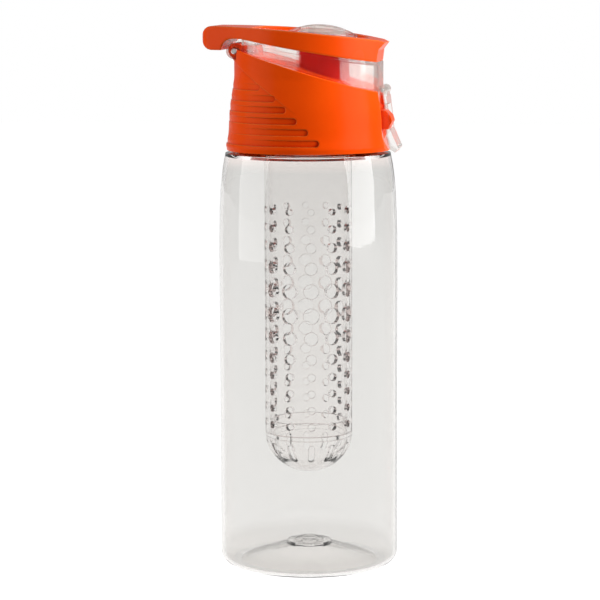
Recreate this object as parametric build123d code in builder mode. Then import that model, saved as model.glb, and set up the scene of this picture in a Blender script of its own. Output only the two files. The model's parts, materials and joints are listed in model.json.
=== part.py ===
from build123d import *
from math import cos, hypot, pi, radians, sin, sqrt, tan
import os

os.makedirs("parts", exist_ok=True)

# Fruit infuser water bottle, in millimetres
# The origin is the centre of the base. +Z is up, +X is the latch side and -X the hinge side.

# Clearances
fit_gap = 0.05
running_gap = 0.1
moving_gap = 0.35
overrun = 2.0

# Bottle
body_radius = 36.5
body_wall = 1.5
shoulder_height = 169.4
shoulder_drop = 0.7
shoulder_setback = 2.85
shoulder_length = 15.3
bend_setback = 0.7
bend_length = 26.1
corner_height = 4.8
corner_reach = 4.9
foot_width = 3.4
punt_height = 6.5
boss_radius = 9.0
boss_step = 0.8
boss_step_count = 3
foot_radius = body_radius - corner_reach

# Neck and thread
neck_setback = 10.7
neck_wall = 1.9
neck_length = 14.6
thread_pitch = 5.0
thread_depth = 1.0
thread_width = 1.6
thread_crest = 0.9
thread_lift = 5.8
thread_root = 0.3
thread_turns = 1.36
insert_thread_turns = 1.2
neck_radius = body_radius - neck_setback
neck_foot = shoulder_height + shoulder_drop
neck_height = shoulder_height + neck_length
thread_start = neck_foot + thread_lift

# Cap insert
insert_wall = 1.2
gasket_thickness = 2.0
deck_thickness = 2.0
insert_lift = 2.5
socket_wall = 2.0
socket_depth = 11.0
deck_height = neck_height + gasket_thickness
insert_bottom = neck_foot + insert_lift

# Collar
collar_lift = 1.2
collar_setback = 2.5
collar_taper = 3.5
collar_height = 46.0
rim_rise = 17.3
rim_slope = 0.30
rim_plate = 1.8
rim_wall = 3.3
edge_soft = 0.4
collar_bottom = shoulder_height + collar_lift
collar_radius_bottom = body_radius - collar_setback
collar_radius_top = collar_radius_bottom - collar_taper
rim_height = deck_height + rim_rise
rim_bore_radius = collar_radius_top - rim_wall
# Each pair is a share of the collar's height and of the step from its top radius to its bottom radius.
collar_shares = [
    (0.04, 1.0),
    (0.1, 0.83),
    (0.26, 0.64),
    (0.435, 0.42),
    (0.525, 0.23),
    (0.61, 0.06),
    (0.66, 0.0),
]

# Grip
slot_height = 2.7
slot_depth = 0.75
slot_pitch = 4.38
slot_first_lift = 4.3
slot_angles = [77.0, 84.5, 92.5, 100.5, 109.0, 123.0]
relief_depth = 0.7
crease_lift = 15.6
crease_angle = 36.0
slot_lowest = collar_bottom + slot_first_lift
crease_height = collar_bottom + crease_lift

# Hinge
hinge_inset = 2.5
hinge_rise = 7.5
barrel_radius = 3.2
barrel_width = 16.0
knuckle_width = 5.6
hinge_pin_radius = 1.25
block_length = 8.4
block_rise = 2.05
hinge_x = hinge_inset - collar_radius_top
hinge_z = rim_height + hinge_rise
block_reach = hinge_x + block_length
block_top = hinge_z + block_rise

# Front recess and catch boss
recess_width = 20.4
boss_width = 11.0
# Each pair is the recess's reach past the collar's top radius and its height over the collar's foot.
recess_outline = [
    (2.7, 0.0),
    (1.5, 1.8),
    (0.0, 6.9),
    (-1.2, 15.2),
    (-1.75, 22.0),
    (-1.8, 27.4),
]
# Each pair is the same for the catch boss, from its top down to where its round flank starts.
boss_outline = [
    (-1.6, 16.6),
    (1.9, 16.0),
    (3.8, 14.0),
]
boss_tip_lift = 11.8
boss_floor_lift = 8.6
boss_tip_reach = 4.44

# Lid
lid_overhang = 0.1
lid_front_setback = 0.9
front_width = 21.0
lid_rear_gap = 4.0
lid_wall = 1.8
frame_rise = 8.2
frame_floor_slope = 0.177
window_rail = 4.2
window_shift = -1.9
window_rear_gap = 7.5
plate_thickness = 1.7
plate_drop = 0.8
web_rise = 4.2
web_floor_rise = 0.5
# Each pair is a corner of the lid's hinge ear, seen from the side and measured from the pin.
ear_outline = [
    (-2.2, 0.5),
    (-2.1, 2.2),
    (-1.0, 3.4),
    (1.5, 4.2),
]
rail_height = 1.2
rail_reach = 0.4
lid_radius = collar_radius_top + lid_overhang
lid_front = lid_radius - lid_front_setback
lid_rear = hinge_x + lid_rear_gap
frame_floor = rim_height + frame_rise
window_radius = lid_radius - window_rail
window_rear = hinge_x + window_rear_gap
lid_web_top = hinge_z + web_rise
lid_web_floor = hinge_z + web_floor_rise

# Top frame
frame_overhang = 0.3
nose_length = 13.9
nose_width = 27.0
nose_corner = 7.0
nose_floor_rise = 0.4
nose_clearance = 1.8
crown_rear_rise = 9.3
crown_middle_rise = 7.5
crown_middle_shift = -3.1
crown_front_rise = 3.1
lip_overhang = 2.7
lip_rise = 2.5
lip_width = 17.0
throat_overhang = 0.3
throat_drop = 0.3
frame_radius = lid_radius + frame_overhang
nose_reach = hinge_x - nose_length
nose_floor = hinge_z + nose_floor_rise
frame_top_rear = frame_floor + crown_rear_rise
nose_round = (frame_top_rear - nose_floor) / 2
frame_top_rear_x = nose_reach + nose_round
nose_clear_radius = barrel_radius + nose_clearance
frame_top_middle = frame_floor + crown_middle_rise
frame_top_middle_x = crown_middle_shift
frame_top_front = frame_floor + crown_front_rise
lip_reach = lid_front + lip_overhang
lip_height = frame_floor + lip_rise
lip_throat_x = lid_front + throat_overhang
lip_throat_height = frame_floor - throat_drop

# Spout and seal
spout_x = 6.7
spout_radius = 10.2
spout_wall = 2.4
spout_rise = 4.1
spout_flange_width = 2.2
spout_flange = 1.6
spout_lip = 0.8
dome_x = 4.3
dome_radius = 16.0
dome_sphere = 30.0
dome_rise = 9.7
dome_wall = 1.5
seal_inset = 1.4
seal_thickness = 1.4
seal_plug_gap = 0.5
seal_plug_depth = 2.0
seal_boss_radius = 6.5
spout_top = frame_floor + spout_rise
dome_top = frame_floor + dome_rise
spout_flange_radius = spout_radius + spout_flange_width
seal_radius = spout_radius - seal_inset
seal_plug_radius = spout_radius - spout_wall - seal_plug_gap

# Latch
latch_overhang = 1.4
latch_drop = 8.3
latch_knuckle_radius = 1.9
latch_knuckle_width = 12.0
latch_lug_width = 2.6
latch_width = 18.0
latch_pin_radius = 0.8
latch_shoulder_drop = 2.4
latch_window_width = 12.4
latch_window_low_drop = 15.4
latch_window_high_drop = 5.7
latch_x = lid_front + latch_overhang
latch_z = rim_height - latch_drop
latch_shoulder = latch_z - latch_shoulder_drop
latch_window_low = latch_z - latch_window_low_drop
latch_window_high = latch_z - latch_window_high_drop
# The latch from its pin, seen from the side: its outer face from the top down, then its inner face up.
latch_outline = [
    (1.8, 0.4),
    (1.7, -1.3),
    (2.15, -5.7),
    (2.65, -9.4),
    (3.2, -15.5),
    (5.0, -19.5),
    (6.65, -23.2),
    (5.4, -25.0),
    (2.4, -23.1),
    (0.5, -19.1),
    (-0.5, -14.8),
    (-1.75, -5.7),
    (-1.9, -2.4),
    (-1.7, -0.4),
]

# Infuser
infuser_radius = 17.9
infuser_wall = 1.9
infuser_length = 131.3
end_length = 16.8
infuser_plug = 5.0
infuser_plug_wall = 1.5
infuser_groove_height = 2.4
infuser_groove_depth = 0.9
hole_columns = 12
hole_turn = 11.5
hole_top_drop = 39.6
hole_bottom_lift = 4.15
hole_radii = [1.3, 1.6, 2.0, 2.5, 3.0, 3.2, 2.7, 2.1, 1.6, 1.5, 1.5, 1.5]
hole_place_shares = [0.0, 0.08, 0.166, 0.261, 0.367, 0.481, 0.586, 0.684, 0.767, 0.845, 0.922, 1.0]
end_slot_width = 2.4
end_slot_length = 7.0
end_slot_drop = 7.0
end_hollow = 10.0
infuser_top = deck_height - running_gap
infuser_seam = infuser_top - infuser_length
infuser_bottom = infuser_seam - end_length
end_slot_height = infuser_seam - end_slot_drop
hole_top_row = infuser_top - hole_top_drop
hole_bottom_row = infuser_seam + hole_bottom_lift


# Shared geometry


def collar_radius(height):
    """Outer radius of the collar at a height, between the points of its outline."""
    step = collar_radius_bottom - collar_radius_top
    points = [(collar_bottom + h * collar_height, collar_radius_top + r * step) for h, r in collar_shares]
    for (low, wide), (high, narrow) in zip(points, points[1:]):
        if low <= height <= high:
            return wide + (narrow - wide) * (height - low) / (high - low)
    return points[0][1] if height < points[0][0] else collar_radius_top


def rim_level(x):
    """Height of the collar's slanted top above a place on the X axis."""
    return rim_height - rim_slope * x


def frame_level(x):
    """Height of the top frame's lower edge above a place on the X axis."""
    return frame_floor - frame_floor_slope * x


def frame_top_level(x):
    """Height of the top frame's upper face, a circle through its three named points."""
    x1, z1 = frame_top_rear_x, frame_top_rear
    x2, z2 = frame_top_middle_x, frame_top_middle
    x3, z3 = lip_reach, frame_top_front
    share_1 = z1 * (x - x2) * (x - x3) / ((x1 - x2) * (x1 - x3))
    share_2 = z2 * (x - x1) * (x - x3) / ((x2 - x1) * (x2 - x3))
    share_3 = z3 * (x - x1) * (x - x2) / ((x3 - x1) * (x3 - x2))
    return share_1 + share_2 + share_3


def side_plane(y):
    """A plane whose sketch X is the bottle's X and whose sketch Y is the height, facing -Y."""
    return Plane(origin=(0, y, 0), x_dir=(1, 0, 0), z_dir=(0, -1, 0))


def across(x, z, radius, low, high):
    """A round bar along Y, from one Y to another."""
    with BuildPart() as bar:
        with BuildSketch(side_plane(high)):
            with Locations((x, z)):
                Circle(radius)
        extrude(amount=high - low)
    return bar.part


def slab_between(points, low, high):
    """A straight-sided outline seen from the side, reaching from one Y to another."""
    with BuildPart() as block:
        with BuildSketch(side_plane(high)):
            with BuildLine():
                Polyline(points, close=True)
            make_face()
        extrude(amount=high - low)
    return block.part


def slab(points, width):
    """A straight-sided outline seen from the side, as wide as given and centred on Y."""
    return slab_between(points, -width / 2, width / 2)


def helix_ridge(radius, depth, base_z, turns):
    """A thread ridge whose crest points outward for a positive depth, inward for a negative one."""
    root = radius - copysign_root(depth)
    with BuildPart() as ridge:
        with BuildLine():
            path = Helix(thread_pitch, thread_pitch * turns, root, center=(0, 0, base_z))
        with BuildSketch(Plane(origin=path @ 0, x_dir=(1, 0, 0), z_dir=path % 0)):
            with BuildLine():
                reach = depth + copysign_root(depth)
                Polyline(
                    (0, -thread_width / 2),
                    (reach, -thread_crest / 2),
                    (reach, thread_crest / 2),
                    (0, thread_width / 2),
                    close=True,
                )
            make_face()
        sweep(is_frenet=True)
    return ridge.part


def copysign_root(depth):
    """How far a thread ridge is sunk into its wall, with the sign of its depth."""
    return thread_root if depth > 0 else -thread_root


# Bottle body

with BuildPart() as bottle_body:
    with BuildSketch(Plane.XZ):
        with BuildLine():
            foot_inner = foot_radius - foot_width
            steps = [
                (boss_radius * (1 - k / boss_step_count), punt_height + (k + rise) * boss_step)
                for k in range(boss_step_count)
                for rise in (0, 1)
            ]
            Polyline(steps + [(0, punt_height + boss_step_count * boss_step)])
            Spline(
                (boss_radius, punt_height),
                ((boss_radius + foot_inner) / 2, punt_height / 2),
                (foot_inner, 0),
            )
            Line((foot_inner, 0), (foot_radius, 0))
            TangentArc((foot_radius, 0), (body_radius, corner_height), tangent=(1, 0))
            waist_height = shoulder_height - shoulder_length - bend_length
            bend_height = waist_height + bend_length
            Line((body_radius, corner_height), (body_radius, waist_height))
            bend = TangentArc(
                (body_radius, waist_height), (body_radius - bend_setback, bend_height), tangent=(0, 1)
            )
            shoulder_end = body_radius - shoulder_setback
            TangentArc(bend @ 1, (shoulder_end, shoulder_height), tangent=bend % 1)
            Line((shoulder_end, shoulder_height), (neck_radius, neck_foot))
            Line((neck_radius, neck_foot), (neck_radius, neck_height))
            neck_bore = neck_radius - neck_wall
            Line((neck_radius, neck_height), (neck_bore, neck_height))
            Line((neck_bore, neck_height), (neck_bore, shoulder_height - body_wall))
            inner_end = (shoulder_end - body_wall, shoulder_height - body_wall)
            Line((neck_bore, shoulder_height - body_wall), inner_end)
            inner_radius = body_radius - body_wall
            inner_bend = TangentArc(
                (inner_radius, waist_height), (inner_radius - bend_setback, bend_height), tangent=(0, 1)
            )
            TangentArc(inner_bend @ 1, inner_end, tangent=inner_bend % 1)
            Line((inner_radius, waist_height), (inner_radius, corner_height))
            TangentArc((inner_radius, corner_height), (foot_radius, body_wall), tangent=(0, -1))
            Line((foot_radius, body_wall), (foot_inner, body_wall))
            Spline(
                (foot_inner, body_wall),
                ((boss_radius + foot_inner) / 2, punt_height / 2 + body_wall),
                (boss_radius, punt_height + body_wall),
            )
            boss_top = steps[-1][1]
            inner_steps = [(x, z + body_wall) for x, z in steps]
            Polyline(inner_steps + [(0, boss_top + body_wall), (0, boss_top)])
        make_face()
    revolve(axis=Axis.Z)
    add(helix_ridge(neck_radius, thread_depth, thread_start, thread_turns))
bottle_body.part.label = "bottle_body"
export_step(bottle_body.part, "parts/bottle_body.step")


# Cap insert, with the inside thread and the socket for the infuser

insert_bore = neck_radius + thread_depth + moving_gap
insert_radius = insert_bore + insert_wall
insert_top = deck_height + deck_thickness
socket_bore = infuser_radius + running_gap
spout_bore = spout_radius - spout_wall

with BuildPart() as thread_insert:
    with BuildSketch(Plane.XY.offset(insert_bottom)):
        Circle(insert_radius)
    extrude(amount=insert_top - insert_bottom)
    with BuildSketch(Plane.XY.offset(insert_bottom)):
        Circle(insert_bore)
        Circle(socket_bore + socket_wall, mode=Mode.SUBTRACT)
    extrude(amount=deck_height - insert_bottom, mode=Mode.SUBTRACT)
    with BuildSketch(Plane.XY.offset(insert_bottom)):
        Circle(insert_bore)
    extrude(amount=deck_height - socket_depth - insert_bottom, mode=Mode.SUBTRACT)
    with BuildSketch(Plane.XY.offset(insert_bottom)):
        Circle(socket_bore)
    extrude(amount=deck_height - insert_bottom, mode=Mode.SUBTRACT)
    with BuildSketch(Plane.XY.offset(insert_bottom)):
        with Locations((spout_x, 0)):
            Circle(spout_bore)
    extrude(amount=insert_top - insert_bottom, mode=Mode.SUBTRACT)
    add(helix_ridge(insert_bore, -thread_depth, thread_start - thread_pitch / 2, insert_thread_turns))
thread_insert.part.label = "thread_insert"
export_step(thread_insert.part, "parts/thread_insert.step")


# Neck gasket

with BuildPart() as neck_gasket:
    with BuildSketch(Plane.XY.offset(neck_height + fit_gap)):
        Circle(neck_radius)
        Circle(neck_radius - neck_wall, mode=Mode.SUBTRACT)
    extrude(amount=deck_height - neck_height - 2 * fit_gap)
    fillet(neck_gasket.edges().filter_by(GeomType.CIRCLE), radius=edge_soft)
neck_gasket.part.label = "neck_gasket"
export_step(neck_gasket.part, "parts/neck_gasket.step")


# Cap collar


def catch_reach(height, radius):
    """Where a circle about the lid's hinge crosses a height, on the latch side."""
    return hinge_x + sqrt(radius**2 - (hinge_z - height) ** 2)


def collar_body(shift):
    """The collar's outer shape, turned about an axis that is moved along X."""
    step = collar_radius_bottom - collar_radius_top
    outline = [(collar_radius_top + r * step, collar_bottom + h * collar_height) for h, r in collar_shares]
    with BuildPart() as body:
        with BuildSketch(Plane.XZ):
            with BuildLine():
                Line((0, collar_bottom), (collar_radius_bottom - edge_soft, collar_bottom))
                Line((collar_radius_bottom - edge_soft, collar_bottom), outline[0])
                Spline(outline, tangents=[(-step / collar_height, 1), (0, 1)])
                collar_end = collar_bottom + collar_height
                Line(outline[-1], (collar_radius_top, collar_end))
                Line((collar_radius_top, collar_end), (0, collar_end))
                Line((0, collar_end), (0, collar_bottom))
            make_face()
        revolve(axis=Axis.Z)
    return body.part.moved(Location((shift, 0, 0)))


def below_rim(drop, low):
    """Everything between a height and a plane that lies under the slanted rim."""
    far = body_radius + overrun
    corners = [(-far, low), (far, low), (far, rim_level(far) - drop), (-far, rim_level(-far) - drop)]
    return slab(corners, 2 * far)


far = body_radius + overrun
crease_rise = far * tan(radians(crease_angle))
below_crease = [
    (-far, collar_bottom - collar_height),
    (far, collar_bottom - collar_height),
    (far, crease_height - crease_rise),
    (-far, crease_height + crease_rise),
]

with BuildPart() as grip_relief:
    add(slab(below_crease, 2 * far))
    add(collar_body(relief_depth), mode=Mode.SUBTRACT)

with BuildPart() as rim_void:
    with BuildSketch(Plane.XY.offset(deck_height)):
        Circle(rim_bore_radius)
    extrude(amount=collar_height)
    add(below_rim(rim_plate, deck_height), mode=Mode.INTERSECT)

boss_tip_height = collar_bottom + boss_tip_lift
boss_floor = collar_bottom + boss_floor_lift
catch_radius = hypot(collar_radius_top + boss_tip_reach - hinge_x, hinge_z - boss_tip_height)

with BuildPart() as catch_boss:
    with BuildSketch(side_plane(0)):
        with BuildLine():
            boss_tip = (collar_radius_top + boss_tip_reach, boss_tip_height)
            boss_foot = (catch_reach(boss_floor, catch_radius), boss_floor)
            middle_height = (boss_tip_height + boss_floor) / 2
            boss_middle = (catch_reach(middle_height, catch_radius), middle_height)
            face = [(collar_radius_top + x, collar_bottom + z) for x, z in boss_outline]
            Polyline(face + [boss_tip])
            ThreePointArc(boss_tip, boss_middle, boss_foot)
            Polyline(boss_foot, (face[0][0], boss_floor), face[0])
        make_face()
    extrude(amount=boss_width / 2, both=True)

with BuildPart() as cap_collar:
    add(collar_body(0))
    add(below_rim(0, collar_bottom - overrun), mode=Mode.INTERSECT)
    add(grip_relief.part, mode=Mode.SUBTRACT)
    for level, turn in enumerate(slot_angles):
        height = slot_lowest + level * slot_pitch
        with BuildSketch(Plane.XZ.rotated((0, 0, -turn))):
            with Locations((collar_radius(height), height)):
                Rectangle(2 * slot_depth, slot_height)
        revolve(axis=Axis.Z, revolution_arc=-(360 - 2 * turn), mode=Mode.SUBTRACT)
        for side in (turn, -turn):
            spot = Vector(collar_radius(height), 0, height).rotate(Axis.Z, side)
            with BuildSketch(Plane(origin=spot, x_dir=(0, 0, 1), z_dir=(spot.X, spot.Y, 0))):
                Circle(slot_height / 2)
            extrude(amount=slot_depth, both=True, mode=Mode.SUBTRACT)
    recess = [(collar_radius_top + x, collar_bottom + z) for x, z in recess_outline]
    front = [(far, collar_bottom - overrun), (recess[0][0], collar_bottom - overrun)]
    add(
        slab(front + recess + [(recess[-1][0], rim_height), (far, rim_height)], recess_width),
        mode=Mode.SUBTRACT,
    )
    add(catch_boss.part)
    with BuildSketch(Plane.XY.offset(collar_bottom)):
        Circle(insert_radius + fit_gap)
    extrude(amount=insert_top + fit_gap - collar_bottom, mode=Mode.SUBTRACT)
    add(rim_void.part, mode=Mode.SUBTRACT)
    with BuildSketch(Plane.XY.offset(deck_height)):
        with Locations((spout_x, 0)):
            Circle(spout_radius + running_gap)
    extrude(amount=collar_height, mode=Mode.SUBTRACT)
    cut_end = barrel_width / 2 + knuckle_width + moving_gap
    for low, high in ((-cut_end, -barrel_width / 2), (barrel_width / 2, cut_end)):
        add(across(hinge_x, hinge_z, barrel_radius + moving_gap, low, high), mode=Mode.SUBTRACT)
    add(across(hinge_x, hinge_z, barrel_radius, -barrel_width / 2, barrel_width / 2))
    block = [
        (hinge_x, rim_level(hinge_x) - rim_plate),
        (block_reach, rim_level(block_reach) - rim_plate),
        (block_reach, block_top),
        (hinge_x, block_top),
    ]
    add(slab(block, barrel_width))
    add(
        across(hinge_x, hinge_z, hinge_pin_radius + running_gap, -barrel_width, barrel_width),
        mode=Mode.SUBTRACT,
    )
cap_collar.part.label = "cap_collar"
export_step(cap_collar.part, "parts/cap_collar.step")


# Drinking spout

with BuildPart() as drinking_spout:
    with BuildSketch(Plane.XY.offset(insert_top)):
        with Locations((spout_x, 0)):
            Circle(spout_flange_radius)
    extrude(amount=spout_flange)
    with BuildSketch(Plane.XY.offset(insert_top)):
        with Locations((spout_x, 0)):
            Circle(spout_radius)
    extrude(amount=spout_top - insert_top)
    fillet(drinking_spout.edges().group_by(Axis.Z)[-1], radius=spout_lip)
    with BuildSketch(Plane.XY.offset(insert_top)):
        with Locations((spout_x, 0)):
            Circle(spout_bore)
    extrude(amount=spout_top - insert_top, mode=Mode.SUBTRACT)
drinking_spout.part.label = "drinking_spout"
export_step(drinking_spout.part, "parts/drinking_spout.step")


# Flip lid


def lid_plan(radius, reach, width):
    """The lid's round plan with a flat front pad, as an upright block that covers every height."""
    with BuildPart() as block:
        with BuildSketch(Plane.XY.offset(collar_bottom)):
            with BuildLine():
                CenterArc((0, 0), radius, 0, 360)
                Line((reach, -width / 2), (reach, width / 2))
            make_hull()
            with Locations((reach + far, 0)):
                Rectangle(2 * far, 2 * far, mode=Mode.SUBTRACT)
        extrude(amount=2 * collar_height)
    return block.part


def window_plan(inset):
    """The block under the top frame's window, drawn in by a distance."""
    with BuildPart() as block:
        with BuildSketch(Plane.XY.offset(collar_bottom)):
            with Locations((window_shift, 0)):
                Circle(window_radius - inset)
            with Locations((window_rear + inset - far, 0)):
                Rectangle(2 * far, 2 * far, mode=Mode.SUBTRACT)
        extrude(amount=2 * collar_height)
    return block.part


def side_band(low_level, high_level, rear, front, drop):
    """The space between two heights that vary along X, the upper one smooth and lowered by a drop."""
    middle = (rear + front) / 2
    with BuildPart() as band:
        with BuildSketch(side_plane(0)):
            with BuildLine():
                Spline(*[(x, high_level(x) - drop) for x in (rear, middle, front)])
                Polyline(
                    (front, high_level(front) - drop),
                    (front, low_level(front)),
                    (rear, low_level(rear)),
                    (rear, high_level(rear) - drop),
                )
            make_face()
        extrude(amount=far, both=True)
    return band.part


def lid_floor(x):
    """Lower edge of the lid, just clear of the collar's slanted top."""
    return rim_level(x) + moving_gap


def rail_top(x):
    """Upper edge of the rail along the lid's lower edge."""
    return lid_floor(x) + rail_height


def below_floor(x):
    """A level safely under the lid's lower edge."""
    return lid_floor(x) - overrun


with BuildPart() as lid_skirt:
    add(lid_plan(lid_radius, lid_front, front_width))
    add(side_band(lid_floor, frame_level, lid_rear, lid_front + overrun, 0), mode=Mode.INTERSECT)

with BuildPart() as lid_rails:
    add(lid_plan(lid_radius + rail_reach, lid_front + rail_reach, front_width))
    add(side_band(lid_floor, rail_top, lid_rear, lid_front + overrun, 0), mode=Mode.INTERSECT)

with BuildPart() as lid_top:
    add(window_plan(running_gap))
    add(
        side_band(lid_floor, frame_top_level, lid_rear, lid_front + overrun, plate_drop),
        mode=Mode.INTERSECT,
    )

with BuildPart() as skirt_void:
    add(lid_plan(lid_radius - lid_wall, lid_front - lid_wall, front_width))
    add(
        side_band(below_floor, frame_level, lid_rear + lid_wall, lid_front + overrun, plate_thickness),
        mode=Mode.INTERSECT,
    )

with BuildPart() as top_void:
    add(window_plan(running_gap + lid_wall))
    add(
        side_band(
            below_floor, frame_top_level, lid_rear, lid_front + overrun, plate_drop + plate_thickness
        ),
        mode=Mode.INTERSECT,
    )


def dome(radius, sphere, low):
    """A shallow spherical cap, closed below by a disc at a height."""
    with BuildPart() as cap:
        with BuildSketch(Plane.XY.offset(low)):
            with Locations((dome_x, 0)):
                Circle(radius)
        extrude(amount=dome_top - low)
        with Locations((dome_x, 0, dome_top - dome_sphere)):
            Sphere(sphere, mode=Mode.INTERSECT)
    return cap.part


dome_floor = frame_top_level(dome_x + dome_radius) - plate_drop - plate_thickness
seal_floor = spout_top + fit_gap
seal_top = seal_floor + seal_thickness
knuckle_start = barrel_width / 2 + moving_gap
knuckle_end = knuckle_start + knuckle_width - moving_gap
lug_start = latch_knuckle_width / 2 + moving_gap / 2
lug_end = lug_start + latch_lug_width

with BuildPart() as flip_lid:
    add(lid_skirt.part)
    add(lid_rails.part)
    add(lid_top.part)
    add(skirt_void.part, mode=Mode.SUBTRACT)
    add(top_void.part, mode=Mode.SUBTRACT)
    add(dome(dome_radius, dome_sphere, dome_floor))
    add(
        dome(dome_radius - dome_wall, dome_sphere - dome_wall, dome_floor - overrun),
        mode=Mode.SUBTRACT,
    )
    with BuildSketch(Plane.XY.offset(seal_top)):
        with Locations((spout_x, 0)):
            Circle(seal_boss_radius)
            Circle(seal_boss_radius - dome_wall, mode=Mode.SUBTRACT)
    extrude(amount=dome_top - dome_wall - seal_top)
    slot_reach = lid_rear - overrun
    slot_end = lid_rear + lid_wall + overrun
    slot = [(slot_reach, below_floor(slot_reach)), (slot_end, below_floor(slot_reach))]
    slot = slot + [(slot_end, lid_web_top), (slot_reach, lid_web_top)]
    add(slab(slot, 2 * knuckle_start), mode=Mode.SUBTRACT)
    web_end = lid_rear + lid_wall
    web = [(web_end, lid_web_top), (web_end, lid_web_floor)]
    web = web + [(hinge_x + x, hinge_z + z) for x, z in ear_outline]
    add(
        across(hinge_x, hinge_z, barrel_radius + moving_gap, -knuckle_start, knuckle_start),
        mode=Mode.SUBTRACT,
    )
    for low, high in ((-knuckle_end, -knuckle_start), (knuckle_start, knuckle_end)):
        add(slab_between(web, low, high))
        add(across(hinge_x, hinge_z, barrel_radius, low, high))
    add(across(hinge_x, hinge_z, hinge_pin_radius, -knuckle_end, knuckle_end), mode=Mode.SUBTRACT)
    add(
        across(latch_x, latch_z, latch_knuckle_radius + moving_gap, -lug_start, lug_start),
        mode=Mode.SUBTRACT,
    )
    for low, high in ((-lug_end, -lug_start), (lug_start, lug_end)):
        add(across(latch_x, latch_z, latch_knuckle_radius, low, high))
    add(across(latch_x, latch_z, latch_pin_radius, -lug_end, lug_end), mode=Mode.SUBTRACT)
flip_lid.part.label = "flip_lid"
export_step(flip_lid.part, "parts/flip_lid.step")


# Spout seal

with BuildPart() as spout_seal:
    with BuildSketch(Plane.XY.offset(seal_floor)):
        with Locations((spout_x, 0)):
            Circle(seal_radius)
    extrude(amount=seal_thickness)
    with BuildSketch(Plane.XY.offset(seal_floor)):
        with Locations((spout_x, 0)):
            Circle(seal_plug_radius)
    extrude(amount=-seal_plug_depth)
    fillet(spout_seal.edges().group_by(Axis.Z)[0], radius=edge_soft)
spout_seal.part.label = "spout_seal"
export_step(spout_seal.part, "parts/spout_seal.step")


# Top frame

with BuildPart() as top_frame:
    with BuildSketch(Plane.XY.offset(rim_height)):
        with BuildLine():
            CenterArc((0, 0), frame_radius, 0, 360)
            nose_middle = nose_reach + nose_corner
            for side in (-1, 1):
                CenterArc((nose_middle, side * (nose_width / 2 - nose_corner)), nose_corner, 0, 360)
            Line((lip_reach, -lip_width / 2), (lip_reach, lip_width / 2))
        make_hull()
    extrude(amount=collar_height)
    with BuildSketch(side_plane(0)):
        with BuildLine():
            top_rear = (frame_top_rear_x, frame_top_rear)
            top_middle = (frame_top_middle_x, frame_top_middle)
            top_front = (lip_throat_x, frame_top_level(lip_throat_x))
            Spline(top_rear, top_middle, top_front)
            hinge_top = (hinge_x, hinge_z + nose_clear_radius)
            half_turn = nose_clear_radius * sin(pi / 4)
            nose_inner = (hinge_x - sqrt(nose_clear_radius**2 - nose_floor_rise**2), nose_floor)
            Polyline(
                top_front,
                (lip_reach, lip_height),
                (lip_throat_x, lip_throat_height),
                (lid_front - edge_soft, frame_level(lid_front - edge_soft)),
                (lid_rear, frame_level(lid_rear)),
                hinge_top,
            )
            ThreePointArc(hinge_top, (hinge_x - half_turn, hinge_z + half_turn), nose_inner)
            nose_end = (frame_top_rear_x, nose_floor)
            Line(nose_inner, nose_end)
            ThreePointArc(nose_end, (nose_reach, nose_floor + nose_round), top_rear)
        make_face()
    extrude(amount=far, both=True, mode=Mode.INTERSECT)
    add(window_plan(0), mode=Mode.SUBTRACT)
    add(
        across(hinge_x, hinge_z, barrel_radius + moving_gap, -knuckle_start, knuckle_start),
        mode=Mode.SUBTRACT,
    )
top_frame.part.label = "top_frame"
export_step(top_frame.part, "parts/top_frame.step")


# Hinge pin and latch pin

with BuildPart() as hinge_pin:
    add(across(hinge_x, hinge_z, hinge_pin_radius, -knuckle_end, knuckle_end))
    chamfer(hinge_pin.edges().filter_by(GeomType.CIRCLE), length=hinge_pin_radius / 4)
hinge_pin.part.label = "hinge_pin"
export_step(hinge_pin.part, "parts/hinge_pin.step")

with BuildPart() as latch_pin:
    add(across(latch_x, latch_z, latch_pin_radius, -lug_end, lug_end))
    chamfer(latch_pin.edges().filter_by(GeomType.CIRCLE), length=latch_pin_radius / 4)
latch_pin.part.label = "latch_pin"
export_step(latch_pin.part, "parts/latch_pin.step")


# Latch

with BuildPart() as latch:
    add(slab([(latch_x + x, latch_z + z) for x, z in latch_outline], latch_width))
    beside = [(0, latch_shoulder), (far, latch_shoulder), (far, rim_height), (0, rim_height)]
    for low, high in ((-latch_width, -latch_knuckle_width / 2), (latch_knuckle_width / 2, latch_width)):
        add(slab_between(beside, low, high), mode=Mode.SUBTRACT)
    add(across(latch_x, latch_z, latch_knuckle_radius, -latch_knuckle_width / 2, latch_knuckle_width / 2))
    window = [(0, latch_window_low), (far, latch_window_low)]
    window = window + [(far, latch_window_high), (0, latch_window_high)]
    add(slab(window, latch_window_width), mode=Mode.SUBTRACT)
    with BuildSketch(side_plane(0)):
        with BuildLine():
            bar_radius = catch_radius + moving_gap
            low_level, high_level = collar_bottom - overrun, latch_window_low + edge_soft
            middle_level = (low_level + high_level) / 2
            arc_low = (catch_reach(low_level, bar_radius), low_level)
            arc_high = (catch_reach(high_level, bar_radius), high_level)
            ThreePointArc(arc_low, (catch_reach(middle_level, bar_radius), middle_level), arc_high)
            Polyline(arc_high, (0, high_level), (0, low_level), arc_low)
        make_face()
    extrude(amount=latch_window_width / 2, both=True, mode=Mode.SUBTRACT)
    add(
        across(latch_x, latch_z, latch_pin_radius + running_gap, -latch_width, latch_width),
        mode=Mode.SUBTRACT,
    )
latch.part.label = "latch"
export_step(latch.part, "parts/latch.step")


# Infuser tube

infuser_bore = infuser_radius - infuser_wall
groove_floor = infuser_top - socket_depth / 2

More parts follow.
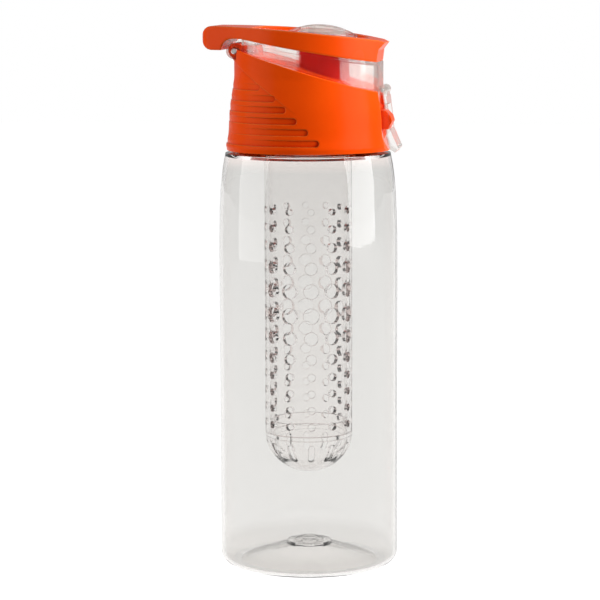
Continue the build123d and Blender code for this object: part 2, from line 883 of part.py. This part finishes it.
with BuildPart() as infuser_tube:
    with BuildSketch(Plane.XY.offset(infuser_seam)):
        Circle(infuser_radius)
        Circle(infuser_bore, mode=Mode.SUBTRACT)
    extrude(amount=infuser_top - infuser_seam)
    with BuildSketch(Plane.XY.offset(groove_floor)):
        Circle(infuser_radius + overrun)
        Circle(infuser_radius - infuser_groove_depth, mode=Mode.SUBTRACT)
    extrude(amount=infuser_groove_height, mode=Mode.SUBTRACT)
    hole_span = hole_top_row - hole_bottom_row
    for column in range(hole_columns // 2):
        with BuildSketch(Plane.XZ.rotated((0, 0, hole_turn + column * 360 / hole_columns))):
            for share, radius in zip(hole_place_shares, hole_radii):
                with Locations((0, hole_top_row - share * hole_span)):
                    Circle(radius)
        extrude(amount=infuser_radius + overrun, both=True, mode=Mode.SUBTRACT)
infuser_tube.part.label = "infuser_tube"
export_step(infuser_tube.part, "parts/infuser_tube.step")


# Infuser gasket

with BuildPart() as infuser_gasket:
    with BuildSketch(Plane.XY.offset(groove_floor + fit_gap)):
        Circle(infuser_radius + fit_gap)
        Circle(infuser_radius - infuser_groove_depth + fit_gap, mode=Mode.SUBTRACT)
    extrude(amount=infuser_groove_height - 2 * fit_gap)
infuser_gasket.part.label = "infuser_gasket"
export_step(infuser_gasket.part, "parts/infuser_gasket.step")


# Infuser end cap

with BuildPart() as infuser_end_cap:
    with BuildSketch(Plane.XZ):
        with BuildLine():
            shoulder = infuser_seam - fit_gap
            inner_rise = shoulder - infuser_bottom - infuser_wall
            Line((0, infuser_bottom), (0, infuser_bottom + infuser_wall))
            Spline(
                (0, infuser_bottom + infuser_wall),
                (infuser_bore * sin(pi / 4), shoulder - inner_rise * cos(pi / 4)),
                (infuser_bore, shoulder - infuser_wall),
                tangents=[(1, 0), (0, 1)],
            )
            plug_radius = infuser_bore - running_gap
            plug_bore = plug_radius - infuser_plug_wall
            plug_top = infuser_seam + infuser_plug
            Polyline(
                (infuser_bore, shoulder - infuser_wall),
                (plug_bore, shoulder - infuser_wall),
                (plug_bore, plug_top),
                (plug_radius, plug_top),
                (plug_radius, shoulder),
                (infuser_radius, shoulder),
            )
            Spline(
                (infuser_radius, shoulder),
                (infuser_radius * sin(pi / 4), shoulder - (shoulder - infuser_bottom) * cos(pi / 4)),
                (0, infuser_bottom),
                tangents=[(0, -1), (-1, 0)],
            )
        make_face()
    revolve(axis=Axis.Z)
    for column in range(hole_columns // 2):
        for half in (0, 180):
            with BuildSketch(
                Plane.XZ.rotated((0, 0, hole_turn + half + column * 360 / hole_columns)).offset(end_hollow)
            ):
                with Locations((0, end_slot_height)):
                    SlotOverall(end_slot_length, end_slot_width, rotation=90)
            extrude(amount=infuser_radius, mode=Mode.SUBTRACT)
infuser_end_cap.part.label = "infuser_end_cap"
export_step(infuser_end_cap.part, "parts/infuser_end_cap.step")
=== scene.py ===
import bpy
import json
from math import cos, pi, radians, sin
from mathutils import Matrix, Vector


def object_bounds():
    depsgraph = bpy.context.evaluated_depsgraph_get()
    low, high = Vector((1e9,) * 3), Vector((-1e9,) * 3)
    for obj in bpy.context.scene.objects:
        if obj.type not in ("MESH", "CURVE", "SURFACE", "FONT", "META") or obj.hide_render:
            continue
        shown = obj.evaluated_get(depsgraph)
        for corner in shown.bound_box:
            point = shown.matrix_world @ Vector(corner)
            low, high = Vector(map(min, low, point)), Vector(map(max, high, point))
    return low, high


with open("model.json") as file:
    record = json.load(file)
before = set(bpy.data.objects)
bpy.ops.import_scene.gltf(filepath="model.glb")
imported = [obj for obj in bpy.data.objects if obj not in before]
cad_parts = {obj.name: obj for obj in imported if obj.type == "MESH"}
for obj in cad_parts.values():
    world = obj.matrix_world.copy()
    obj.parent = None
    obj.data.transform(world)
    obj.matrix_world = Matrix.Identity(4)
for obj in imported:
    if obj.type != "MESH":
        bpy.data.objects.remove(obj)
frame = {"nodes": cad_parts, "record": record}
cad_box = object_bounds()
nodes = frame["nodes"]
scene = bpy.context.scene

# Heights on the bottle, in metres
object_top = cad_box[1][2]
neck_heights = (0.163, 0.169)
foot_heights = (0.011, 0.006)

# The photograph's camera, fitted to the bottle's outline
photo_size = 600
photo_lens_px = 2498.4
camera_turn = radians(8.0)
camera_tilt = radians(7.439)
camera_distance = 1.0247
camera_roll = radians(-0.2156)
look_side = -0.003489
look_height = 0.10876
sensor_width = 36.0
clip_near, clip_far = 0.01, 20


def camera_place():
    """The camera's place, from its distance and angles about the look-at point."""
    flat = camera_distance * cos(camera_tilt)
    x = look_side * cos(camera_turn) + flat * sin(camera_turn)
    y = look_side * sin(camera_turn) - flat * cos(camera_turn)
    return Vector((x, y, look_height + camera_distance * sin(camera_tilt)))


def make_camera():
    """The camera at the photograph's viewing angle."""
    data = bpy.data.cameras.new("photo_camera")
    data.sensor_width = sensor_width
    data.lens = sensor_width * photo_lens_px / photo_size
    data.clip_start = clip_near
    data.clip_end = clip_far
    camera = bpy.data.objects.new("photo_camera", data)
    scene.collection.objects.link(camera)
    camera.location = camera_place()
    camera.rotation_euler = (pi / 2 - camera_tilt, 0, camera_turn)
    camera.rotation_euler.rotate_axis("Z", camera_roll)
    scene.camera = camera


# Shader helpers


def new_material(name):
    """An empty node material with its output."""
    material = bpy.data.materials.new(name)
    material.use_nodes = True
    material.node_tree.nodes.clear()
    output = material.node_tree.nodes.new("ShaderNodeOutputMaterial")
    return material, material.node_tree, output


def add_node(tree, kind, **settings):
    """One node, with the properties and the input values that are named."""
    node = tree.nodes.new(kind)
    for key, value in settings.items():
        if key == "inputs":
            for socket, number in value.items():
                node.inputs[socket].default_value = number
        else:
            setattr(node, key, value)
    return node


def moulded_skin_group():
    """Fine moulding texture: a soft height and a slightly uneven roughness."""
    group = bpy.data.node_groups.new("moulded_skin", "ShaderNodeTree")
    group.interface.new_socket("Scale", in_out="INPUT", socket_type="NodeSocketFloat")
    group.interface.new_socket("Roughness", in_out="INPUT", socket_type="NodeSocketFloat")
    group.interface.new_socket("Unevenness", in_out="INPUT", socket_type="NodeSocketFloat")
    group.interface.new_socket("Roughness", in_out="OUTPUT", socket_type="NodeSocketFloat")
    group.interface.new_socket("Height", in_out="OUTPUT", socket_type="NodeSocketFloat")
    enter = group.nodes.new("NodeGroupInput")
    leave = group.nodes.new("NodeGroupOutput")
    place = group.nodes.new("ShaderNodeTexCoord")
    grain = add_node(group, "ShaderNodeTexNoise", inputs={"Detail": 4.0, "Roughness": 0.55})
    cloud = add_node(group, "ShaderNodeTexNoise", inputs={"Scale": 38.0, "Detail": 2.0})
    group.links.new(place.outputs["Object"], grain.inputs["Vector"])
    group.links.new(place.outputs["Object"], cloud.inputs["Vector"])
    group.links.new(enter.outputs["Scale"], grain.inputs["Scale"])
    centred = add_node(group, "ShaderNodeMath", operation="SUBTRACT", inputs={1: 0.5})
    spread = add_node(group, "ShaderNodeMath", operation="MULTIPLY")
    total = add_node(group, "ShaderNodeMath", operation="ADD")
    group.links.new(cloud.outputs["Fac"], centred.inputs[0])
    group.links.new(centred.outputs[0], spread.inputs[0])
    group.links.new(enter.outputs["Unevenness"], spread.inputs[1])
    group.links.new(spread.outputs[0], total.inputs[0])
    group.links.new(enter.outputs["Roughness"], total.inputs[1])
    group.links.new(total.outputs[0], leave.inputs["Roughness"])
    group.links.new(grain.outputs["Fac"], leave.inputs["Height"])
    return group


skin_group = moulded_skin_group()


def skin(tree, scale, roughness, unevenness, bump, corner=0):
    """The moulding texture with softened corners, as a roughness and a normal socket."""
    group = add_node(tree, "ShaderNodeGroup", node_tree=skin_group)
    group.inputs["Scale"].default_value = scale
    group.inputs["Roughness"].default_value = roughness
    group.inputs["Unevenness"].default_value = unevenness
    relief = add_node(tree, "ShaderNodeBump", inputs={"Strength": bump, "Distance": 0.0001})
    tree.links.new(group.outputs["Height"], relief.inputs["Height"])
    if corner:
        rounding = add_node(tree, "ShaderNodeBevel", samples=6, inputs={"Radius": corner})
        tree.links.new(rounding.outputs["Normal"], relief.inputs["Normal"])
    return group.outputs["Roughness"], relief.outputs["Normal"]


def tint(tree, facing_colour, edge_colour, edge_blend):
    """A colour socket that goes from one tint, seen square on, to another, seen edge on."""
    facing = add_node(tree, "ShaderNodeLayerWeight", inputs={"Blend": edge_blend})
    ramp = add_node(tree, "ShaderNodeValToRGB")
    ramp.color_ramp.elements[0].color = facing_colour + (1.0,)
    ramp.color_ramp.elements[0].position = 0.35
    ramp.color_ramp.elements[1].color = edge_colour + (1.0,)
    tree.links.new(facing.outputs["Facing"], ramp.inputs["Fac"])
    return ramp.outputs["Color"]


def hole_wall_mask(tree):
    """A mask of the walls of the tube's holes, whose normals lie across the line from the axis."""
    place = add_node(tree, "ShaderNodeTexCoord")
    flat = add_node(tree, "ShaderNodeVectorMath", operation="MULTIPLY")
    flat.inputs[1].default_value = (1.0, 1.0, 0.0)
    outward = add_node(tree, "ShaderNodeVectorMath", operation="NORMALIZE")
    along = add_node(tree, "ShaderNodeVectorMath", operation="DOT_PRODUCT")
    size = add_node(tree, "ShaderNodeMath", operation="ABSOLUTE")
    mask = add_node(
        tree,
        "ShaderNodeMapRange",
        inputs={"From Min": 0.45, "From Max": 0.8, "To Min": 1.0, "To Max": 0.0},
    )
    tree.links.new(place.outputs["Object"], flat.inputs[0])
    tree.links.new(flat.outputs[0], outward.inputs[0])
    tree.links.new(outward.outputs[0], along.inputs[0])
    tree.links.new(place.outputs["Normal"], along.inputs[1])
    tree.links.new(along.outputs["Value"], size.inputs[0])
    tree.links.new(size.outputs[0], mask.inputs["Value"])
    return mask.outputs[0]


def mix_colours(tree, mask, first, second):
    """Two colours or colour sockets mixed by a mask."""
    mix = add_node(tree, "ShaderNodeMix", data_type="RGBA")
    tree.links.new(mask, mix.inputs["Factor"])
    for socket, colour in ((mix.inputs[6], first), (mix.inputs[7], second)):
        if isinstance(colour, tuple):
            socket.default_value = colour + (1.0,)
        else:
            tree.links.new(colour, socket)
    return mix.outputs[2]


def height_mask(tree, low, high):
    """A mask that rises from one height on the piece to another."""
    place = add_node(tree, "ShaderNodeTexCoord")
    split = add_node(tree, "ShaderNodeSeparateXYZ")
    mask = add_node(tree, "ShaderNodeMapRange", inputs={"From Min": low, "From Max": high})
    tree.links.new(place.outputs["Object"], split.inputs[0])
    tree.links.new(split.outputs["Z"], mask.inputs["Value"])
    return mask.outputs[0]


def edge_mask(tree, corner, most):
    """A mask of a piece's edges, where its rounded normal leaves the flat one."""
    rounded = add_node(tree, "ShaderNodeBevel", samples=6, inputs={"Radius": corner})
    flat = add_node(tree, "ShaderNodeNewGeometry")
    turned = add_node(tree, "ShaderNodeVectorMath", operation="DOT_PRODUCT")
    edge = add_node(
        tree,
        "ShaderNodeMapRange",
        inputs={"From Min": 0.75, "From Max": 0.97, "To Min": most, "To Max": 0.0},
    )
    tree.links.new(rounded.outputs["Normal"], turned.inputs[0])
    tree.links.new(flat.outputs["Normal"], turned.inputs[1])
    tree.links.new(turned.outputs["Value"], edge.inputs["Value"])
    return edge.outputs[0]


def clear_plastic(name, facing_colour, edge_colour, bend, gloss, plain_share, painted_light_marks):
    """Clear moulded plastic, whose wall darkens and warms where it is seen edge on, and whose colour
    takes the painted shade and painted reflections of the given masks.
    """
    material, tree, output = new_material(name)
    shader = add_node(
        tree,
        "ShaderNodeBsdfPrincipled",
        inputs={"Transmission Weight": 1.0, "IOR": bend, "Specular IOR Level": gloss},
    )
    roughness, normal = skin(tree, 900.0, 0.006, 0.004, 0.03)
    tree.links.new(roughness, shader.inputs["Roughness"])
    tree.links.new(normal, shader.inputs["Normal"])
    colour = tint(tree, facing_colour, edge_colour, 0.35)
    # Painted shade and painted reflections are mixed into the wall's colour here
    for mark, painted_tint in painted_light_marks:
        colour = mix_colours(tree, mark(tree), colour, painted_tint)
    tree.links.new(colour, shader.inputs["Base Color"])
    plain = add_node(tree, "ShaderNodeBsdfTransparent")
    tree.links.new(colour, plain.inputs["Color"])
    clearer = add_node(tree, "ShaderNodeMixShader", inputs={"Fac": plain_share})
    tree.links.new(shader.outputs[0], clearer.inputs[1])
    tree.links.new(plain.outputs[0], clearer.inputs[2])
    path = add_node(tree, "ShaderNodeLightPath")
    through = add_node(tree, "ShaderNodeBsdfTransparent", inputs={"Color": (0.93, 0.91, 0.9, 1.0)})
    mix = add_node(tree, "ShaderNodeMixShader")
    tree.links.new(path.outputs["Is Shadow Ray"], mix.inputs["Fac"])
    tree.links.new(clearer.outputs[0], mix.inputs[1])
    tree.links.new(through.outputs[0], mix.inputs[2])
    tree.links.new(mix.outputs[0], output.inputs["Surface"])
    return material


def orange_plastic(name, corner, gloss, low_colour, high_colour):
    """Satin orange polypropylene, with painted shade in its recesses and a painted highlight along its
    edges.
    """
    material, tree, output = new_material(name)
    shader = add_node(
        tree, "ShaderNodeBsdfPrincipled", inputs={"Specular IOR Level": gloss, "IOR": 1.49}
    )
    roughness, normal = skin(tree, 1400.0, 0.27, 0.1, 0.08, corner)
    tree.links.new(roughness, shader.inputs["Roughness"])
    tree.links.new(normal, shader.inputs["Normal"])
    place = add_node(tree, "ShaderNodeTexCoord")
    drift = add_node(tree, "ShaderNodeTexNoise", inputs={"Scale": 25.0, "Detail": 3.0})
    ramp = add_node(tree, "ShaderNodeValToRGB")
    ramp.color_ramp.elements[0].color = low_colour + (1.0,)
    ramp.color_ramp.elements[0].position = 0.3
    ramp.color_ramp.elements[1].color = high_colour + (1.0,)
    ramp.color_ramp.elements[1].position = 0.7
    tree.links.new(place.outputs["Object"], drift.inputs["Vector"])
    tree.links.new(drift.outputs["Fac"], ramp.inputs["Fac"])
    # Painted shade: the colour turns deep red where ambient occlusion finds a recess
    cavity = add_node(tree, "ShaderNodeAmbientOcclusion", samples=8, only_local=True)
    cavity.inputs["Distance"].default_value = 0.0034
    painted_recess_shade = add_node(
        tree,
        "ShaderNodeMapRange",
        inputs={"From Min": 0.52, "From Max": 0.97, "To Min": 1.0, "To Max": 0.0},
    )
    tree.links.new(cavity.outputs["AO"], painted_recess_shade.inputs["Value"])
    colour = mix_colours(tree, painted_recess_shade.outputs[0], ramp.outputs["Color"], (0.58, 0.016, 0.001))
    # Painted highlight: the colour turns paler orange along the piece's rounded edges
    colour = mix_colours(tree, edge_mask(tree, corner, 0.85), colour, (1.0, 0.25, 0.04))
    tree.links.new(colour, shader.inputs["Base Color"])
    tree.links.new(shader.outputs[0], output.inputs["Surface"])
    return material


def silicone():
    """Matt translucent silicone, with the faint clouding of a moulded seal."""
    material, tree, output = new_material("milky_silicone")
    shader = add_node(tree, "ShaderNodeBsdfPrincipled", inputs={"Subsurface Weight": 0.2, "IOR": 1.41})
    roughness, normal = skin(tree, 1100.0, 0.55, 0.15, 0.1)
    tree.links.new(roughness, shader.inputs["Roughness"])
    tree.links.new(normal, shader.inputs["Normal"])
    place = add_node(tree, "ShaderNodeTexCoord")
    cloud = add_node(tree, "ShaderNodeTexNoise", inputs={"Scale": 90.0, "Detail": 3.0})
    ramp = add_node(tree, "ShaderNodeValToRGB")
    ramp.color_ramp.elements[0].color = (0.66, 0.64, 0.6, 1.0)
    ramp.color_ramp.elements[1].color = (0.8, 0.78, 0.75, 1.0)
    tree.links.new(place.outputs["Object"], cloud.inputs["Vector"])
    tree.links.new(cloud.outputs["Fac"], ramp.inputs["Fac"])
    tree.links.new(ramp.outputs["Color"], shader.inputs["Base Color"])
    tree.links.new(shader.outputs[0], output.inputs["Surface"])
    return material


def steel():
    """Drawn stainless wire, streaked along its length."""
    material, tree, output = new_material("stainless_wire")
    shader = add_node(tree, "ShaderNodeBsdfPrincipled", inputs={"Metallic": 1.0})
    place = add_node(tree, "ShaderNodeTexCoord")
    stretch = add_node(tree, "ShaderNodeMapping", inputs={"Scale": (1.0, 0.08, 1.0)})
    streak = add_node(tree, "ShaderNodeTexNoise", inputs={"Scale": 2500.0, "Detail": 3.0})
    tone = add_node(tree, "ShaderNodeValToRGB")
    tone.color_ramp.elements[0].color = (0.42, 0.41, 0.4, 1.0)
    tone.color_ramp.elements[1].color = (0.68, 0.67, 0.66, 1.0)
    gloss = add_node(tree, "ShaderNodeMapRange", inputs={"To Min": 0.18, "To Max": 0.4})
    tree.links.new(place.outputs["Object"], stretch.inputs["Vector"])
    tree.links.new(stretch.outputs[0], streak.inputs["Vector"])
    tree.links.new(streak.outputs["Fac"], tone.inputs["Fac"])
    tree.links.new(streak.outputs["Fac"], gloss.inputs["Value"])
    tree.links.new(tone.outputs["Color"], shader.inputs["Base Color"])
    tree.links.new(gloss.outputs[0], shader.inputs["Roughness"])
    tree.links.new(shader.outputs[0], output.inputs["Surface"])
    return material


# Finishes

orange_low, orange_high = (0.93, 0.066, 0.001), (1.0, 0.086, 0.002)
hole_corner, hole_edge_shade_strength = 0.00035, 0.95
# Painted reflection: a pale warm band on the bottle just under the collar stands in for the collar's
# orange glow in the shoulder
neck_painted_reflection = (lambda tree: height_mask(tree, *neck_heights), (1.0, 0.93, 0.905))
# Painted shade: the bottle's wall turns darker towards the bottom of the foot
foot_painted_shade = (lambda tree: height_mask(tree, *foot_heights), (0.745, 0.735, 0.72))
# Painted shade: the walls of the tube's holes are tinted darker
hole_wall_painted_shade = (hole_wall_mask, (0.74, 0.64, 0.62))
# Painted shade: the rounded edges of the holes and of the end cap are tinted dark
edge_painted_shade = (lambda tree: edge_mask(tree, hole_corner, hole_edge_shade_strength), (0.4, 0.29, 0.27))
finishes = {
    "bottle_body": clear_plastic(
        "clear_copolyester",
        (0.82, 0.815, 0.803),
        (0.7, 0.66, 0.63),
        bend=1.36,
        gloss=0.04,
        plain_share=0.0,
        painted_light_marks=[neck_painted_reflection, foot_painted_shade],
    ),
    "clear_cap": clear_plastic(
        "clear_polycarbonate",
        (0.95, 0.93, 0.915),
        (0.84, 0.77, 0.73),
        bend=1.3,
        gloss=0.03,
        plain_share=0.5,
        painted_light_marks=[],
    ),
    "infuser_tube": clear_plastic(
        "clear_tube_styrene",
        (0.985, 0.976, 0.972),
        (0.76, 0.7, 0.68),
        bend=1.38,
        gloss=0.12,
        plain_share=0.0,
        painted_light_marks=[hole_wall_painted_shade, edge_painted_shade],
    ),
    "infuser_end_cap": clear_plastic(
        "clear_end_styrene",
        (0.99, 0.982, 0.978),
        (0.8, 0.74, 0.73),
        bend=1.38,
        gloss=0.12,
        plain_share=0.0,
        painted_light_marks=[edge_painted_shade],
    ),
    "orange_plastic": orange_plastic("orange_polypropylene", 0.0006, 0.03, orange_low, orange_high),
    "top_frame": orange_plastic("orange_frame_plastic", 0.0012, 0.05, orange_low, orange_high),
    # The mouthpiece is the same orange plastic as the rest; its deep red colours are painted shade for
    # where it sits under the lid
    "drinking_spout": orange_plastic(
        "orange_mouthpiece_painted_shade", 0.0005, 0.015, (0.48, 0.006, 0.003), (0.56, 0.012, 0.005)
    ),
    "silicone": silicone(),
    "steel": steel(),
}
finishes["clear_body"] = finishes["bottle_body"]


def dress(piece, finish):
    """Gives a piece one finish all over."""
    piece.data.materials.clear()
    piece.data.materials.append(finishes[finish])


for entry in frame["record"]["subparts"]:
    name = entry["node"]
    dress(nodes[name], name if name in finishes else entry["material_slot"])


# Studio

floor_reach = 3.0
clear_wall_bounces = 24


def pale_floor():
    """White floor that shows as white and keeps the bottle's soft shadow."""
    bpy.ops.object.select_all(action="DESELECT")
    bpy.ops.mesh.primitive_plane_add(size=2 * floor_reach, location=(0, 0, 0))
    floor = bpy.context.object
    floor.name = "studio_floor"
    material, tree, output = new_material("studio_paper")
    paper = add_node(tree, "ShaderNodeBsdfDiffuse", inputs={"Color": (0.27, 0.27, 0.27, 1.0)})
    glow = add_node(tree, "ShaderNodeEmission", inputs={"Color": (1.0, 1.0, 1.0, 1.0)})
    path = add_node(tree, "ShaderNodeLightPath")
    seen = add_node(tree, "ShaderNodeMath", operation="MAXIMUM")
    seen_through = add_node(tree, "ShaderNodeMath", operation="MAXIMUM")
    share = add_node(tree, "ShaderNodeMath", operation="MULTIPLY", inputs={1: 0.945})
    tree.links.new(path.outputs["Is Camera Ray"], seen.inputs[0])
    tree.links.new(path.outputs["Is Glossy Ray"], seen.inputs[1])
    tree.links.new(seen.outputs[0], seen_through.inputs[0])
    tree.links.new(path.outputs["Is Transmission Ray"], seen_through.inputs[1])
    tree.links.new(seen_through.outputs[0], share.inputs[0])
    tree.links.new(share.outputs[0], glow.inputs["Strength"])
    both = add_node(tree, "ShaderNodeAddShader")
    tree.links.new(paper.outputs[0], both.inputs[0])
    tree.links.new(glow.outputs[0], both.inputs[1])
    tree.links.new(both.outputs[0], output.inputs["Surface"])
    floor.data.materials.append(material)


def studio_world():
    """A white room, seen as white, that lights the bottle a little less from the -X side than from the
    +X side.
    """
    world = bpy.data.worlds.new("studio_room")
    scene.world = world
    world.use_nodes = True
    tree = world.node_tree
    tree.nodes.clear()
    output = tree.nodes.new("ShaderNodeOutputWorld")
    place = tree.nodes.new("ShaderNodeTexCoord")
    split = tree.nodes.new("ShaderNodeSeparateXYZ")
    tree.links.new(place.outputs["Generated"], split.inputs[0])
    room = add_node(tree, "ShaderNodeMapRange", inputs={"From Min": -1.0, "From Max": 1.0})
    room.inputs["To Min"].default_value = 0.18
    room.inputs["To Max"].default_value = 0.3
    tree.links.new(split.outputs["X"], room.inputs["Value"])
    light = add_node(tree, "ShaderNodeBackground")
    tree.links.new(room.outputs[0], light.inputs["Strength"])
    white = add_node(tree, "ShaderNodeBackground", inputs={"Strength": 1.0})
    white.inputs["Color"].default_value = (1.0, 1.0, 1.0, 1.0)
    path = tree.nodes.new("ShaderNodeLightPath")
    seen = add_node(tree, "ShaderNodeMath", operation="MAXIMUM")
    seen_through = add_node(tree, "ShaderNodeMath", operation="MAXIMUM")
    mirrored = add_node(tree, "ShaderNodeMath", operation="MULTIPLY", inputs={1: 0.3})
    tree.links.new(path.outputs["Is Glossy Ray"], mirrored.inputs[0])
    tree.links.new(path.outputs["Is Camera Ray"], seen.inputs[0])
    tree.links.new(mirrored.outputs[0], seen.inputs[1])
    tree.links.new(seen.outputs[0], seen_through.inputs[0])
    tree.links.new(path.outputs["Is Transmission Ray"], seen_through.inputs[1])
    mix = tree.nodes.new("ShaderNodeMixShader")
    tree.links.new(seen_through.outputs[0], mix.inputs["Fac"])
    tree.links.new(light.outputs[0], mix.inputs[1])
    tree.links.new(white.outputs[0], mix.inputs[2])
    tree.links.new(mix.outputs[0], output.inputs["Surface"])


def soft_box(name, place, size, power):
    """A rectangular lamp that faces the middle of the bottle."""
    data = bpy.data.lights.new(name, "AREA")
    data.shape = "RECTANGLE"
    data.size, data.size_y = size
    data.energy = power
    lamp = bpy.data.objects.new(name, data)
    scene.collection.objects.link(lamp)
    lamp.visible_transmission = False
    lamp.location = place
    aim = Vector((0, 0, object_top / 2)) - lamp.location
    lamp.rotation_euler = aim.to_track_quat("-Z", "Y").to_euler()


def make_studio():
    """Floor, room and lamps."""
    pale_floor()
    studio_world()
    soft_box("key_box", (1.4, -0.2, 0.58), (1.2, 1.4), 37.0)
    soft_box("side_box", (-1.0, -0.35, 0.4), (0.9, 1.2), 9.0)
    scene.view_settings.view_transform = "Standard"
    scene.cycles.max_bounces = clear_wall_bounces
    scene.cycles.transmission_bounces = clear_wall_bounces
    scene.cycles.transparent_max_bounces = clear_wall_bounces


make_camera()
make_studio()
